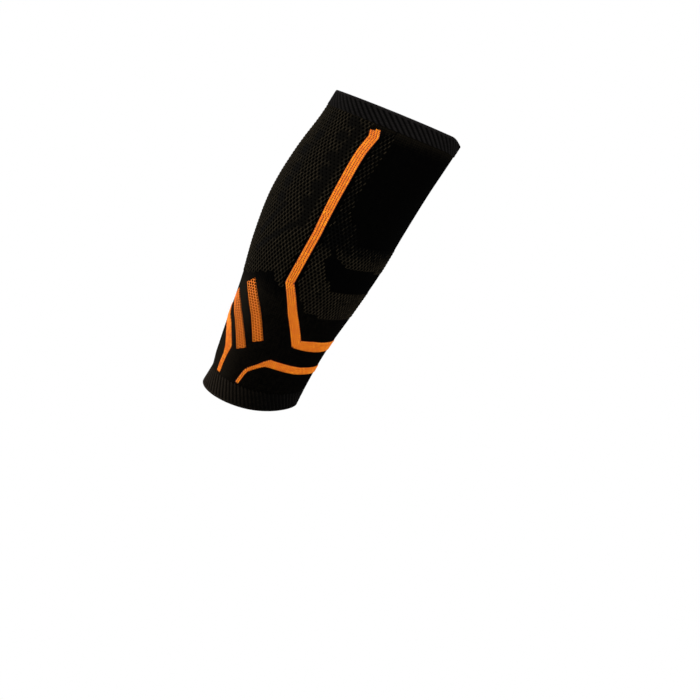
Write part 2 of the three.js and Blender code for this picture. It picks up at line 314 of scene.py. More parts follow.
# Each of a tree's inputs takes the value of the same name
def runTree(piece, tree, values, material):
    modifier = piece.modifiers.new(tree.name, "NODES")
    modifier.node_group = tree
    for item in tree.interface.items_tree:
        key = item.name.lower()
        if item.in_out == "INPUT" and key in values:
            modifier[item.identifier] = float(values[key])
        elif item.name == "Material":
            modifier[item.identifier] = material
    bpy.context.view_layer.update()
    mesh = bpy.data.meshes.new_from_object(piece.evaluated_get(bpy.context.evaluated_depsgraph_get()))
    old = piece.data
    piece.modifiers.remove(modifier)
    piece.data = mesh
    mesh.name = piece.name
    bpy.data.meshes.remove(old)
    mesh.shade_smooth()
    print("made", piece.name, len(mesh.polygons), "faces")
    return piece


# Ribs that stand out of a ring, by its own phase and relief attributes, with painted shade stored in their
# grooves
def ribTree():
    tree, source, target = geometryTree("ribs", {"Ribs": 72.0, "Depth": 0.5 * mm, "Roundness": 1.0})
    relief = namedValue(tree, "relief")
    turns = maths(tree, "MULTIPLY", namedValue(tree, "phase"), source.outputs["Ribs"])
    wave = maths(tree, "COSINE", maths(tree, "MULTIPLY", turns, 2 * math.pi))
    raised = maths(tree, "MULTIPLY_ADD", wave, 0.5, 0.5)
    shaped = maths(tree, "POWER", raised, source.outputs["Roundness"])
    sunk = maths(tree, "SUBTRACT", shaped, 1.0)
    amount = maths(tree, "MULTIPLY", maths(tree, "MULTIPLY", sunk, source.outputs["Depth"]), relief)
    normal = addNode(tree, "GeometryNodeInputNormal")
    push = addNode(tree, "ShaderNodeVectorMath", {0: normal.outputs[0], "Scale": amount}, operation="SCALE")
    moved = addNode(tree, "GeometryNodeSetPosition", {
        "Geometry": source.outputs["Geometry"],
        "Offset": push.outputs["Vector"],
    })
    groove = maths(tree, "MULTIPLY", maths(tree, "SUBTRACT", 1.0, shaped), relief)
    # Painted shade: the deeper a point lies in a groove, the darker its colour
    shaded = addNode(tree, "GeometryNodeStoreNamedAttribute", {
        "Geometry": moved.outputs["Geometry"],
        "Name": "shaded",
        "Value": groove,
    }, data_type="FLOAT", domain="POINT")
    endTree(tree, source, target, shaded.outputs["Geometry"])
    return tree


# How a strand rounds into its hole: the share of its thickness that each ring falls, how much painted shade
# each gets, and how much darker the dense tiles are
netRound = {"falls": (0.25, 0.75), "shades": (0.0, 0.35, 1.0), "dim": 0.8}


# Every face becomes a round-edged hole: three rings stepping in and down, with the last face taken out
def netTree():
    tree, source, target = geometryTree("openNet", {
        "Strand": 0.2 * mm, "Depth": 0.5 * mm, "Shoulder": 0.78, "Hole": 0.72, "Foot": 0.9,
        "Narrow": 1.0, "Closed": 0.4,
    })
    given = source.outputs
    geometry = given["Geometry"]
    down = maths(tree, "MULTIPLY", given["Depth"], -1.0)
    dense = namedValue(tree, "dense")
    level = namedValue(tree, "level", "FLOAT_VECTOR")
    closing = maths(tree, "SUBTRACT", given["Closed"], given["Shoulder"])
    shoulder = maths(tree, "MULTIPLY_ADD", closing, dense, given["Shoulder"])
    opening = maths(tree, "SUBTRACT", 1.0, given["Narrow"])
    narrow = maths(tree, "MULTIPLY_ADD", opening, dense, given["Narrow"])
    bend, drop = (maths(tree, "MULTIPLY", given["Strand"], -share) for share in netRound["falls"])
    top = None
    scales = (shoulder, given["Hole"], given["Foot"])
    for reach, scale, shade in zip((bend, drop, down), scales, netRound["shades"]):
        links = {"Mesh": geometry, "Offset Scale": reach, "Individual": True}
        if top is not None:
            links["Selection"] = top
        ring = addNode(tree, "GeometryNodeExtrudeMesh", links, mode="FACES")
        top = ring.outputs["Top"]
        # Painted shade: each ring's sides are darkened, the deeper the darker; the dense tiles are darker as
        # well
        shaded = addNode(tree, "GeometryNodeStoreNamedAttribute", {
            "Geometry": ring.outputs["Mesh"],
            "Selection": ring.outputs["Side"],
            "Name": "shaded",
            "Value": maths(tree, "MULTIPLY_ADD", dense, netRound["dim"] * (1 - shade), shade),
        }, data_type="FLOAT", domain="FACE")
        shrink = addNode(tree, "GeometryNodeScaleElements", {
            "Geometry": shaded.outputs["Geometry"],
            "Selection": top,
            "Scale": scale,
        }, domain="FACE", scale_mode="UNIFORM")
        geometry = shrink.outputs["Geometry"]
        if scale is shoulder:
            slim = addNode(tree, "GeometryNodeScaleElements", {
                "Geometry": geometry,
                "Selection": top,
                "Scale": narrow,
                "Axis": level,
            }, domain="FACE", scale_mode="SINGLE_AXIS")
            geometry = slim.outputs["Geometry"]
    opened = addNode(tree, "GeometryNodeDeleteGeometry", {
        "Geometry": geometry,
        "Selection": top,
    }, domain="FACE", mode="ONLY_FACE")
    endTree(tree, source, target, opened.outputs["Geometry"])
    return tree


# A stitch on every marked point, turned by the point's out and up. Its leg of yarn is given by start,
# middle and end, as shares of the width, the height and the yarn's radius, and may be mirrored into a V
def stitchTree(name, leg, sides, mirrored):
    tree, source, target = geometryTree(name, {"Width": 1.7 * mm, "Height": 1.7 * mm, "Yarn": 0.35 * mm})
    isMarked = addNode(tree, "FunctionNodeCompare", {0: namedValue(tree, "stitch"), 1: 0.5},
                       data_type="FLOAT", operation="GREATER_THAN")
    parts = addNode(tree, "GeometryNodeSeparateGeometry", {
        "Geometry": source.outputs["Geometry"],
        "Selection": isMarked.outputs["Result"],
    }, domain="POINT")
    width, height = source.outputs["Width"], source.outputs["Height"]

    def place(across, along, lift):
        return addNode(tree, "ShaderNodeCombineXYZ", {
            "X": maths(tree, "MULTIPLY", width, across),
            "Y": maths(tree, "MULTIPLY", height, along),
            "Z": maths(tree, "MULTIPLY", source.outputs["Yarn"], lift),
        }).outputs[0]

    bent = addNode(tree, "GeometryNodeCurveQuadraticBezier", {
        "Resolution": 3,
        "Start": place(*leg[0]),
        "Middle": place(*leg[1]),
        "End": place(*leg[2]),
    })
    profile = addNode(tree, "GeometryNodeCurvePrimitiveCircle", {
        "Resolution": sides,
        "Radius": source.outputs["Yarn"],
    })
    yarn = addNode(tree, "GeometryNodeCurveToMesh", {
        "Curve": bent.outputs["Curve"],
        "Profile Curve": profile.outputs["Curve"],
        "Fill Caps": True,
    })
    both = addNode(tree, "GeometryNodeJoinGeometry", {"Geometry": yarn.outputs["Mesh"]})
    if mirrored:
        turned = addNode(tree, "GeometryNodeTransform", {
            "Geometry": yarn.outputs["Mesh"],
            "Scale": (-1.0, 1.0, 1.0),
        })
        righted = addNode(tree, "GeometryNodeFlipFaces", {"Mesh": turned.outputs["Geometry"]})
        tree.links.new(righted.outputs["Mesh"], both.inputs["Geometry"])
    turn = addNode(tree, "FunctionNodeAxesToRotation", {
        "Primary Axis": namedValue(tree, "out", "FLOAT_VECTOR"),
        "Secondary Axis": namedValue(tree, "up", "FLOAT_VECTOR"),
    }, primary_axis="Z", secondary_axis="Y")
    stitches = addNode(tree, "GeometryNodeInstanceOnPoints", {
        "Points": parts.outputs["Selection"],
        "Instance": both.outputs["Geometry"],
        "Rotation": turn.outputs["Rotation"],
        "Scale": namedValue(tree, "size", "FLOAT_VECTOR"),
    })
    joined = addNode(tree, "GeometryNodeJoinGeometry", {"Geometry": stitches.outputs["Instances"]})
    tree.links.new(parts.outputs["Inverted"], joined.inputs["Geometry"])
    endTree(tree, source, target, joined.outputs["Geometry"])
    return tree


yarnSides = 5
stitchLeg = ((0.05, -0.62, -0.6), (0.2, -0.1, 1.0), (0.26, 0.52, -0.4))
loopLeg = ((-0.16, -0.5, -0.7), (0.0, 0.0, 1.1), (0.16, 0.5, -0.7))
ribs, openNet = ribTree(), netTree()
knitStitches = stitchTree("knitStitches", stitchLeg, yarnSides, True)
netLoops = stitchTree("netLoops", loopLeg, yarnSides, False)
print("node trees ready")

# The knit's own grid: wales stand side by side round the leg, courses stack up it
knit = {"wales": 168, "courses": 126, "low": cuffShare, "high": bandShare}
knit["step"] = (knit["high"] - knit["low"]) / knit["courses"]

# Paths of the orange lines and vents: share of the girth, share of the height, and which width in mm
widths = {"lineTop": 8.1, "lineMiddle": 7.5, "line": 7.1, "fall": 7.1, "bend": 7.1, "arm": 9,
          "ankleTail": 3.1, "ankleStep": 4.2, "ankle": 6.3, "backTail": 4.6, "back": 7.6,
          "ventTop": 10.7, "ventMiddle": 8.7, "ventFoot": 8.4}
ribbonPaths = {
    "shinLine": [
        (0.2733, 0.931, "lineTop"), (0.2675, 0.911, "lineTop"), (0.2702, 0.885, "lineTop"),
        (0.2720, 0.86, "lineTop"), (0.2713, 0.83, "lineTop"), (0.2682, 0.76, "lineTop"),
        (0.2649, 0.65, "lineMiddle"), (0.2643, 0.59, "line"),
        (0.2708, 0.487, "fall"), (0.2758, 0.4223, "fall"), (0.2335, 0.3352, "fall"),
        (0.1753, 0.2398, "bend"), (0.125, 0.236, "arm"), (0.09, 0.2324, "arm"), (0, 0.228, "arm"),
    ],
    "ankleLine": [
        (0.303, 0.0668, "ankleTail"), (0.2914, 0.105, "ankleTail"), (0.2847, 0.1183, "ankleTail"),
        (0.2617, 0.1362, "ankleTail"), (0.2395, 0.1525, "ankleStep"), (0.2235, 0.1594, "ankle"),
        (0.19, 0.1563, "ankle"), (0.12, 0.1465, "ankle"), (0, 0.138, "ankle"),
    ],
    "backLine": [
        (0.396, 0.07, "backTail"), (0.3898, 0.13, "backTail"), (0.3891, 0.1587, "back"),
        (0.4025, 0.1812, "back"), (0.4272, 0.2136, "back"), (0.4706, 0.2392, "back"), (0.5, 0.252, "back"),
    ],
}
ventPaths = [
    [
        (0.3933, 0.3772, "ventTop"), (0.3314, 0.29, "ventMiddle"), (0.2897, 0.2153, "ventFoot"),
    ],
    [
        (0.4602, 0.3144, "ventTop"), (0.4228, 0.2868, "ventTop"), (0.3874, 0.2517, "ventMiddle"),
        (0.3619, 0.2171, "ventFoot"), (0.3343, 0.1733, "ventFoot"),
    ],
]


def widePath(path, trim=0.0):  # widths in place of their names
    return [(around, height, widths[width] - trim) for around, height, width in path]


def mirroredPath(path):
    middle = path[-1][0]
    return path + [(2 * middle - around, height, width) for around, height, width in path[-2::-1]]


def unrolled(a, b):
    return np.array([(b[0] - a[0]) * girthAt((a[1] + b[1]) / 2), (b[1] - a[1]) * sleeve["height"]])


# Left and right edge points of a ribbon at its path's own points, mitred
def ribbonCorners(path):
    corners = []
    for i, point in enumerate(path):
        before = unrolled(path[i - 1], point) if i else unrolled(point, path[1])
        after = unrolled(point, path[i + 1]) if i < len(path) - 1 else before
        before, after = before / np.linalg.norm(before), after / np.linalg.norm(after)
        along = (before + after) / np.linalg.norm(before + after)
        side = np.array([-along[1], along[0]])
        reach = point[2] * mm / 2 / max(0.5, abs(side @ np.array([-after[1], after[0]])))
        shift = side * reach / np.array([girthAt(point[1]), sleeve["height"]])
        place = np.array(point[:2])
        corners.append((place + shift, place - shift))
    return np.array(corners)


def ribbonLines(path, step=1.2 * mm):
    corners = ribbonCorners(path)
    lines = [corners[0]]
    for i in range(len(path) - 1):
        steps = max(2, int(np.linalg.norm(unrolled(path[i], path[i + 1])) / step))
        shares = np.arange(1, steps + 1)[:, None, None] / steps
        lines.extend(corners[i] * (1 - shares) + corners[i + 1] * shares)
    return np.array(lines)


# Areas of the pattern, drawn on the outer half as (share of the girth from the shin, share of the height)
frontNet = [(0, 0.585), (0.04, 0.585), (0.168, 0.590), (0.222, 0.690), (0.230, 0.790), (0.230, 0.872),
            (0.226, 0.944), (0.242, 0.925), (0.251, 0.890), (0.245, 0.780), (0.241, 0.650), (0.246, 0.540),
            (0.251, 0.435), (0.236, 0.400), (0.201, 0.344), (0.046, 0.336), (0, 0.334)]
frontChevron = [(0, 0.428), (0.04, 0.428), (0.175, 0.436), (0.222, 0.510), (0.212, 0.584), (0.188, 0.538),
                (0.165, 0.520), (0, 0.506)]
calfNet = [(0.5, 0.945), (0.290, 0.945), (0.288, 0.880), (0.281, 0.640), (0.288, 0.520), (0.300, 0.430),
           (0.288, 0.400), (0.296, 0.392), (0.327, 0.440), (0.345, 0.432), (0.372, 0.415), (0.436, 0.388),
           (0.5, 0.372)]
calfBands = [((0.311, 0.609), (0.410, 0.475)), ((0.372, 0.633), (0.4175, 0.527))]
calfStrips = [  # place round the leg, low and high end, half width, density
    (0.309, 0.60, 0.92, 0.011, 0.9),
    (0.394, 0.62, 0.93, 0.009, 0.5),
]
calfTiles = [(0.397, 0.856), (0.411, 0.802), (0.397, 0.744), (0.400, 0.696), (0.394, 0.646),
             (0.335, 0.880), (0.328, 0.814), (0.321, 0.768), (0.319, 0.718), (0.321, 0.666), (0.330, 0.930)]
tileHalf = (0.0135, 0.0175)  # half width round the leg, half height
bandHalf = 0.0078
denseFade = {"from": 0.7, "to": 1.3, "stripEnd": 0.8}  # in half widths; how soon a strip ends lengthways


def mirrorShare(around):
    share = np.asarray(around) % 1.0
    return np.minimum(share, 1 - share)


def insideOf(polygon, around, height):
    corners = np.array(polygon)
    x, y = np.asarray(around), np.asarray(height)
    inside = np.zeros(np.broadcast(x, y).shape, bool)
    for (x0, y0), (x1, y1) in zip(corners, np.roll(corners, -1, axis=0)):
        if y0 == y1:
            continue
        crosses = (y0 > y) != (y1 > y)
        inside ^= crosses & (x < (x1 - x0) * (y - y0) / (y1 - y0) + x0)
    return inside


def isFrontNet(around, height):
    share = mirrorShare(around)
    return insideOf(frontNet, share, height) & ~insideOf(frontChevron, share, height)


def isCalfNet(around, height):
    return insideOf(calfNet, mirrorShare(around), height)


def ramp(value, low, high):
    return np.clip((np.asarray(value) - low) / (high - low), 0, 1)


# How dense the calf net is knitted: 1 inside its tiles and slanted bands, fading at their edges
def calfDensity(around, height):
    share = mirrorShare(around)
    dense = np.zeros(np.broadcast(share, height).shape)
    fade = lambda reach: 1 - ramp(reach, denseFade["from"], denseFade["to"])
    for tileAround, tileHeight in calfTiles:
        sideways, upward = (share - tileAround) / tileHalf[0], (height - tileHeight) / tileHalf[1]
        dense = np.maximum(dense, fade((sideways ** 4 + upward ** 4) ** 0.25))
    for (x0, y0), (x1, y1) in calfBands:
        x, y = x1 - x0, y1 - y0
        along = np.clip(((share - x0) * x + (height - y0) * y) / (x * x + y * y), 0, 1)
        aside = np.hypot(share - x0 - along * x, height - y0 - along * y)
        dense = np.maximum(dense, fade(aside / bandHalf))
    for middle, low, high, half, most in calfStrips:
        beyond = np.maximum(0, np.maximum(low - height, height - high)) * denseFade["stripEnd"]
        dense = np.maximum(dense, most * fade(np.hypot(share - middle, beyond) / half))
    return dense * dense * (3 - 2 * dense)


# Tones as (how much is added, from which share, to which): of the height, or of the girth where named so
# The body's steps round the girth, by the side and over the calf, are painted sheen
bodyToneSteps = {"panel": -0.48, "lower": (0.2, 0.42, 0.36), "sideSheenAround": (0.14, 0.22, 0.32),
             "calfSheenAround": (0.45, 0.32, 0.4), "underBand": (0.42, 0.905, 0.945)}
# The front net's steps are painted shade
netShadeSteps = {"front": 0.265, "above": (-0.5, 0.54, 0.6), "top": (0.3, 0.6, 0.7)}
# The cuff's steps are painted shade at the front and painted sheen over the calf
ringLightSteps = {"front": -0.44, "calfSheenAround": (0.7, 0.12, 0.4), "ease": 1.3}


def toneStep(value, amount, low, high):
    return amount * ramp(value, low, high)


# How light the closed cloth's yarn is: darkest on the panels, lighter under the band and round the ankle,
# and lighter still towards the calf side low down, which is painted sheen
def bodyToneWithSheen(around, height):
    share = mirrorShare(around)
    amount, low, high = bodyToneSteps["lower"]
    side = toneStep(share, *bodyToneSteps["sideSheenAround"]) + toneStep(share, *bodyToneSteps["calfSheenAround"])
    lower = ramp(height, low, high) * (amount + side)
    return bodyToneSteps["panel"] + lower + toneStep(height, *bodyToneSteps["underBand"])


# Painted shade: the front net is painted darker beside the upper panel, and a little less so higher up
def netPaintedShade(around, height):
    tone = toneStep(height, *netShadeSteps["above"]) + toneStep(height, *netShadeSteps["top"])
    return tone * (mirrorShare(around) < netShadeSteps["front"])


# The cuff is painted darker at the front and lighter over the calf, as shade and sheen; the band's look
# gives these values no weight
def ringPaintedLight(around):
    amount, low, high = ringLightSteps["calfSheenAround"]
    return ringLightSteps["front"] + amount * ramp(mirrorShare(around), low, high) ** ringLightSteps["ease"]


# Node groups shared by the materials. A loop's two legs slant towards a crease where they meet.
loopForm = {"slant": -0.55, "edgePower": 3.0, "creasePower": 6.0, "crease": -0.7, "bead": (0.6, 0.4)}


def loopGroup():
    tree, source, target = newTree("knitLoops", "ShaderNodeTree", {
        "Place": ("Vector", None), "Wales": ("Float", 168.0),
        "Courses": ("Float", 142.0), "Lean": ("Float", 0.0),
    }, {"Relief": ("Float", None), "Yarn": ("Float", None)})
    place = addNode(tree, "ShaderNodeSeparateXYZ", {0: source.outputs["Place"]})
    leaned = maths(tree, "MULTIPLY_ADD", place.outputs["Y"], source.outputs["Lean"], place.outputs["X"])
    across = maths(tree, "MULTIPLY", leaned, source.outputs["Wales"])
    along = maths(tree, "MULTIPLY", place.outputs["Y"], source.outputs["Courses"])
    fromMiddle = maths(tree, "SUBTRACT", maths(tree, "FRACT", across), 0.5)
    side = maths(tree, "MULTIPLY", maths(tree, "ABSOLUTE", fromMiddle), 2.0)
    slanted = maths(tree, "MULTIPLY_ADD", side, loopForm["slant"], along)
    wave = maths(tree, "COSINE", maths(tree, "MULTIPLY", slanted, 2 * math.pi))
    bead = maths(tree, "MULTIPLY_ADD", wave, 0.5, 0.5)
    edge = maths(tree, "SUBTRACT", 1.0, maths(tree, "POWER", side, loopForm["edgePower"]))
    crease = maths(tree, "POWER", maths(tree, "SUBTRACT", 1.0, side), loopForm["creasePower"])
    legs = maths(tree, "MULTIPLY", edge, maths(tree, "MULTIPLY_ADD", crease, loopForm["crease"], 1.0))
    relief = maths(tree, "MULTIPLY", maths(tree, "MULTIPLY_ADD", bead, *loopForm["bead"]), legs)
    tree.links.new(relief, target.inputs["Relief"])
    whole = addNode(tree, "ShaderNodeCombineXYZ", {
        "X": maths(tree, "FLOOR", across),
        "Y": maths(tree, "FLOOR", slanted),
    })
    noise = addNode(tree, "ShaderNodeTexWhiteNoise", {"Vector": whole.outputs[0]}, noise_dimensions="2D")
    tree.links.new(noise.outputs["Value"], target.inputs["Yarn"])
    return tree


def fuzzGroup():
    tree, source, target = newTree("yarnFuzz", "ShaderNodeTree", {"Scale": ("Float", 2500.0)},
                                   {"Fuzz": ("Float", None)})
    place = tree.nodes.new("ShaderNodeTexCoord")
    fine = addNode(tree, "ShaderNodeTexNoise", {
        "Vector": place.outputs["Object"],
        "Scale": source.outputs["Scale"],
        "Detail": 2.0,
    })
    tree.links.new(fine.outputs["Fac"], target.inputs["Fuzz"])
    return tree


knitLoops, yarnFuzz = loopGroup(), fuzzGroup()

# How a yarn's colour is mixed: from drawn loops, with painted shade in their creases, and a little fuzz, or
# from fuzz alone on modelled stitches
clothMix = {"loops": 0.8, "looseFuzz": 0.3, "fuzz": (0.6, -0.1), "even": (0.4, 0.3), "bumpDepth": 0.3 * mm}
shineSockets = {"Roughness": "roughness", "Specular IOR Level": "specular", "Sheen Weight": "sheen",
                "Sheen Roughness": "sheenRoughness"}


# One kind of cloth: from dark to light yarn by its loops (painted shade in their creases), its fuzz and each
# point's tone (partly painted sheen and shade), then darkened by each point's shaded value (painted shade,
# and the darker dense tiles)
def clothMaterial(name, look):
    material = bpy.data.materials.new(name)
    material.use_nodes = True
    tree = material.node_tree
    shader = tree.nodes["Principled BSDF"]
    for socket, key in shineSockets.items():
        shader.inputs[socket].default_value = look[key]
    shader.inputs["Sheen Tint"].default_value = (*look["sheenTint"], 1)
    fuzz = addNode(tree, "ShaderNodeGroup", node_tree=yarnFuzz).outputs["Fuzz"]
    height = maths(tree, "MULTIPLY", fuzz, look["fuzz"])
    if "loops" in look:
        place = addNode(tree, "ShaderNodeUVMap", uv_map="knit")
        loops = addNode(tree, "ShaderNodeGroup", node_tree=knitLoops)
        tree.links.new(place.outputs["UV"], loops.inputs["Place"])
        for socket, value in zip(("Wales", "Courses", "Lean"), look["loops"]):
            loops.inputs[socket].default_value = value
        height = maths(tree, "ADD", height, loops.outputs["Relief"])
        even = maths(tree, "MULTIPLY_ADD", loops.outputs["Yarn"], *clothMix["even"])
        # Painted shade: the loops' relief darkens the yarn in their creases
        shade = maths(tree, "MULTIPLY", loops.outputs["Relief"], even)
        loose = maths(tree, "MULTIPLY", fuzz, clothMix["looseFuzz"])
        mixed = maths(tree, "MULTIPLY_ADD", shade, clothMix["loops"], loose)
    else:
        mixed = maths(tree, "MULTIPLY_ADD", fuzz, *clothMix["fuzz"])
    tone = addNode(tree, "ShaderNodeAttribute", attribute_name="tone")
    depth = addNode(tree, "ShaderNodeAttribute", attribute_name="shaded")
    colour = addNode(tree, "ShaderNodeMix", {
        "Factor": maths(tree, "MULTIPLY_ADD", tone.outputs["Fac"], look["tone"], mixed),
        "A": (*look["dark"], 1),
        "B": (*look["light"], 1),
    }, data_type="RGBA")
    darker = addNode(tree, "ShaderNodeMix", {
        "Factor": depth.outputs["Fac"],
        "A": colour.outputs["Result"],
        "B": (*look["shaded"], 1),
    }, data_type="RGBA")
    tree.links.new(darker.outputs["Result"], shader.inputs["Base Color"])
    bump = addNode(tree, "ShaderNodeBump", {
        "Height": height,
        "Strength": look["bump"],
        "Distance": clothMix["bumpDepth"],
    })
    tree.links.new(bump.outputs["Normal"], shader.inputs["Normal"])
    return material


def yarn(red, green, blue):  # a picked screen colour as scene values
    return tuple((value / 255) ** 2.2 for value in (red, green, blue))


fullCourses = 1 / knit["step"]
# A look's shaded colour is where the shaded value leads: painted shade, and on the net also the darker dense
# tiles
netLook = {
    "dark": yarn(4, 4, 3), "light": yarn(47, 42, 33), "shaded": yarn(1, 1, 1), "tone": 1.0,
    "roughness": 0.85, "specular": 0.03, "sheen": 0.008, "sheenRoughness": 0.35,
    "sheenTint": (1, 0.93, 0.85), "fuzz": 0.4, "bump": 0.4,
}
bodyLook = {
    **netLook, "dark": yarn(1, 1, 1), "light": yarn(30, 27, 22),
    "roughness": 0.9, "specular": 0.015, "sheen": 0.0, "sheenRoughness": 0.4,
    "sheenTint": (1, 0.93, 0.88), "fuzz": 0.2, "bump": 0.5,
    "loops": (knit["wales"], fullCourses, 0.0),  # wales, courses, lean
}
cuffLook = {
    **bodyLook, "dark": yarn(4, 4, 3), "light": yarn(46, 41, 35), "sheen": 0.04,
    "loops": (252, fullCourses * 1.3, 0.55),
}
bandLook = {
    **bodyLook, "dark": yarn(10, 10, 10), "light": yarn(42, 40, 40), "tone": 0.0, "sheen": 0.01,
    "loops": (240, fullCourses * 1.2, 1.2),
}
# The orange shaded colours are painted shade: in the gaps between the lines' stitches and down the vents'
# holes
lineLook = {
    "dark": yarn(214, 106, 5), "light": yarn(255, 160, 22), "shaded": yarn(105, 42, 4), "tone": 0.35,
    "roughness": 0.65, "specular": 0.25, "sheen": 0.1, "sheenRoughness": 0.4, "sheenTint": (1, 0.75, 0.5),
    "fuzz": 0.6, "bump": 0.25,
}
ventLook = {
    **lineLook, "dark": yarn(255, 118, 12), "light": yarn(255, 164, 40), "shaded": yarn(60, 16, 2),
}
bodyKnit = clothMaterial("bodyKnit", bodyLook)
netKnit = clothMaterial("netKnit", netLook)
cuffKnit = clothMaterial("cuffKnit", cuffLook)
bandKnit = clothMaterial("bandKnit", bandLook)
lineKnit = clothMaterial("lineKnit", lineLook)
ventKnit = clothMaterial("ventKnit", ventLook)
print("cloth ready")


# Main tube: wales as low ridges outside, sunk under the nets and vents and painted black there as shade,
# smooth inside
def makeBody():
    size = {
        "columns": 4,  # to each wale
        "ridge": 0.16 * mm, "sunk": 0.75 * mm,
        "sunkRidge": 0.4,  # how much of a ridge is left under the nets
        "tuck": 0.4 * mm,  # under the cuff and the band
        "liningRows": 13, "liningTone": 0.3,
        "ventTrim": 1.5,  # mm off a vent's width for its floor, which is painted dark as shade
    }
    columns = knit["wales"] * size["columns"]
    around = np.arange(columns) / columns
    outer = knit["low"] + np.arange(knit["courses"] + 1) * knit["step"]
    outer[0] -= size["tuck"] / sleeve["height"]
    outer[-1] += size["tuck"] / sleeve["height"]
    lining = np.linspace(outer[-1], outer[0], size["liningRows"])
    wave = np.cos(2 * math.pi * (around * knit["wales"] - 0.5))
    where = (around[None, :], outer[:, None])
    inNet = (isFrontNet(*where) | isCalfNet(*where)).astype(float)
    for path in ventPaths:
        edges = ribbonCorners(widePath(path, size["ventTrim"]))
        patch = np.concatenate([edges[:, 0], edges[::-1, 1]])
        inNet += insideOf(patch, mirrorShare(where[0]), where[1])
    inNet = np.minimum(inNet, 1)
    kept = 1 - (1 - size["sunkRidge"]) * inNet
    offsets = size["ridge"] * (wave[None, :] - 1) * kept / 2 - size["sunk"] * inNet
    inner = np.full((size["liningRows"], columns), -sleeve["wall"])
    # Painted shade: the floor under the nets and vents
    shaded = np.concatenate([inNet, np.zeros_like(inner)])
    liningTone = np.full_like(inner, size["liningTone"])
    tone = np.concatenate([bodyToneWithSheen(*where), liningTone])
    piece = tubeWall("bodyKnit", around, np.concatenate([outer, lining]), np.concatenate([offsets, inner]),
                     {"shaded": shaded, "tone": tone})
    piece.data.materials.append(bodyKnit)
    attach(piece, "root")
    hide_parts("sleeve_body")
    print("made bodyKnit", len(piece.data.polygons), "faces")


# Six-sided cells laid like bricks, each to be opened by the net tree
netCells = {"round": 100, "rows": 84}
cellRing = np.array([(0, 2), (-1, 1), (-1, -1), (0, -2), (1, -1), (1, 1)])


def cellPlace(grid):
    step = (knit["high"] - knit["low"]) / netCells["rows"]
    return grid[..., 0] / (2 * netCells["round"]), knit["low"] + (grid[..., 1] + 1) / 3 * step


def cellMiddles(chosen):
    across, row = np.meshgrid(np.arange(netCells["round"]), np.arange(netCells["rows"]), indexing="ij")
    middle = np.stack([2 * across + 1 + row % 2, 3 * row + 0.5], axis=-1).reshape(-1, 2)
    return middle[chosen(*cellPlace(middle))]


def cellSheet(name, chosen, top):
    corners = (cellMiddles(chosen)[:, None, :] + cellRing[None] + (0, 0.5)).round().astype(int)
    corners[..., 0] %= 2 * netCells["round"]
    keys, faces = np.unique(corners.reshape(-1, 2), axis=0, return_inverse=True)
    faces = faces.reshape(-1, 6)
    around, height = cellPlace(keys - (0, 0.5))
    points = onSleeve(around, height, top)
    return buildMesh(name, points, facedOut(points, faces), None, {
        "dense": calfDensity(around, height),
        "level": levelAt(around, height),
        "tone": netPaintedShade(around, height),
    })


def makeNet(name, chosen):
    size = {
        "strand": 0.4 * mm, "depth": 0.35 * mm, "top": 0.06 * mm,
        "shoulder": 0.84, "hole": 0.84, "foot": 0.95,  # each ring's size as a share of the one above it
        "narrow": 0.85,
    }
    piece = cellSheet(name, chosen, size["top"])
    runTree(piece, openNet, size, netKnit)
    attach(piece, "root")


# The raised yarn of a net: one loop on every upright strand
def makeLoops(name, chosen, tone):
    size = {
        "height": 2.0 * mm, "width": 2.0 * mm, "yarn": 0.4 * mm, "lift": 0.02 * mm,
        "sunk": 0.3 * mm, "dim": 0.93,  # in the dense tiles
        "flat": 0.75, "uneven": 0.08, "mottle": 0.15,
    }
    sides = cellMiddles(chosen)[:, None, :] + np.array([(-1, 0), (1, 0)])
    sides[..., 0] %= 2 * netCells["round"]
    around, height = cellPlace(np.unique(sides.reshape(-1, 2), axis=0))
    count = len(around)
    random = np.random.default_rng(count)
    dense = calfDensity(around, height)
    points = onSleeve(around, height, size["lift"] - size["sunk"] * dense)
    lengths = random.normal(1, size["uneven"], count)
    piece = buildMesh(name, points, np.zeros((0, 4), int), None, {
        "stitch": np.ones(count),
        "out": outAt(around, height),
        "up": upAt(around, height),
        "size": np.stack([np.ones(count), lengths, np.full(count, size["flat"])], axis=1),
        "tone": tone + netPaintedShade(around, height) + random.normal(0, size["mottle"], count),
        "shaded": size["dim"] * dense,
    })
    runTree(piece, netLoops, size, netKnit)
    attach(piece, "root")


makeBody()
makeNet("calfNet", isCalfNet)
makeNet("frontNet", isFrontNet)
# The front loops' lower tone than the calf loops' is painted shade
makeLoops("calfLoops", isCalfNet, 0.4)
makeLoops("frontLoops", isFrontNet, 0.25)


# Orange lines: a thin skin under knit stitches that keep to the courses and wales
def ribbonSkin(lines, across, top, foot):
    shares = np.linspace(0, 1, across)
    flat = lines[:, :1] * (1 - shares)[None, :, None] + lines[:, 1:] * shares[None, :, None]
    upper = onSleeve(flat[..., 0], flat[..., 1], top)
    lower = onSleeve(flat[..., 0], flat[..., 1], foot)[:, ::-1]
    ring = np.concatenate([upper, lower], axis=1)
    rows, columns = ring.shape[:2]
    faces = tubeFaces(rows, columns, wrapRows=False)[0]
    first = np.array([[k, k + 1, columns - 2 - k, columns - 1 - k] for k in range(across - 1)])
    last = first[:, ::-1] + (rows - 1) * columns
    faces = np.concatenate([faces, first, last])
    points = ring.reshape(-1, 3)
    return points, facedOut(points, faces)


# Where a level line at one place along an axis enters and leaves a four-cornered patch
def crossing(patch, axis, place):
    found = []
    for start, end in zip(patch, np.roll(patch, -1, axis=0)):
        if (start[axis] > place) != (end[axis] > place):
            share = (place - start[axis]) / (end[axis] - start[axis])
            found.append(start[1 - axis] + share * (end[1 - axis] - start[1 - axis]))
    return (min(found), max(found)) if len(found) == 2 else None


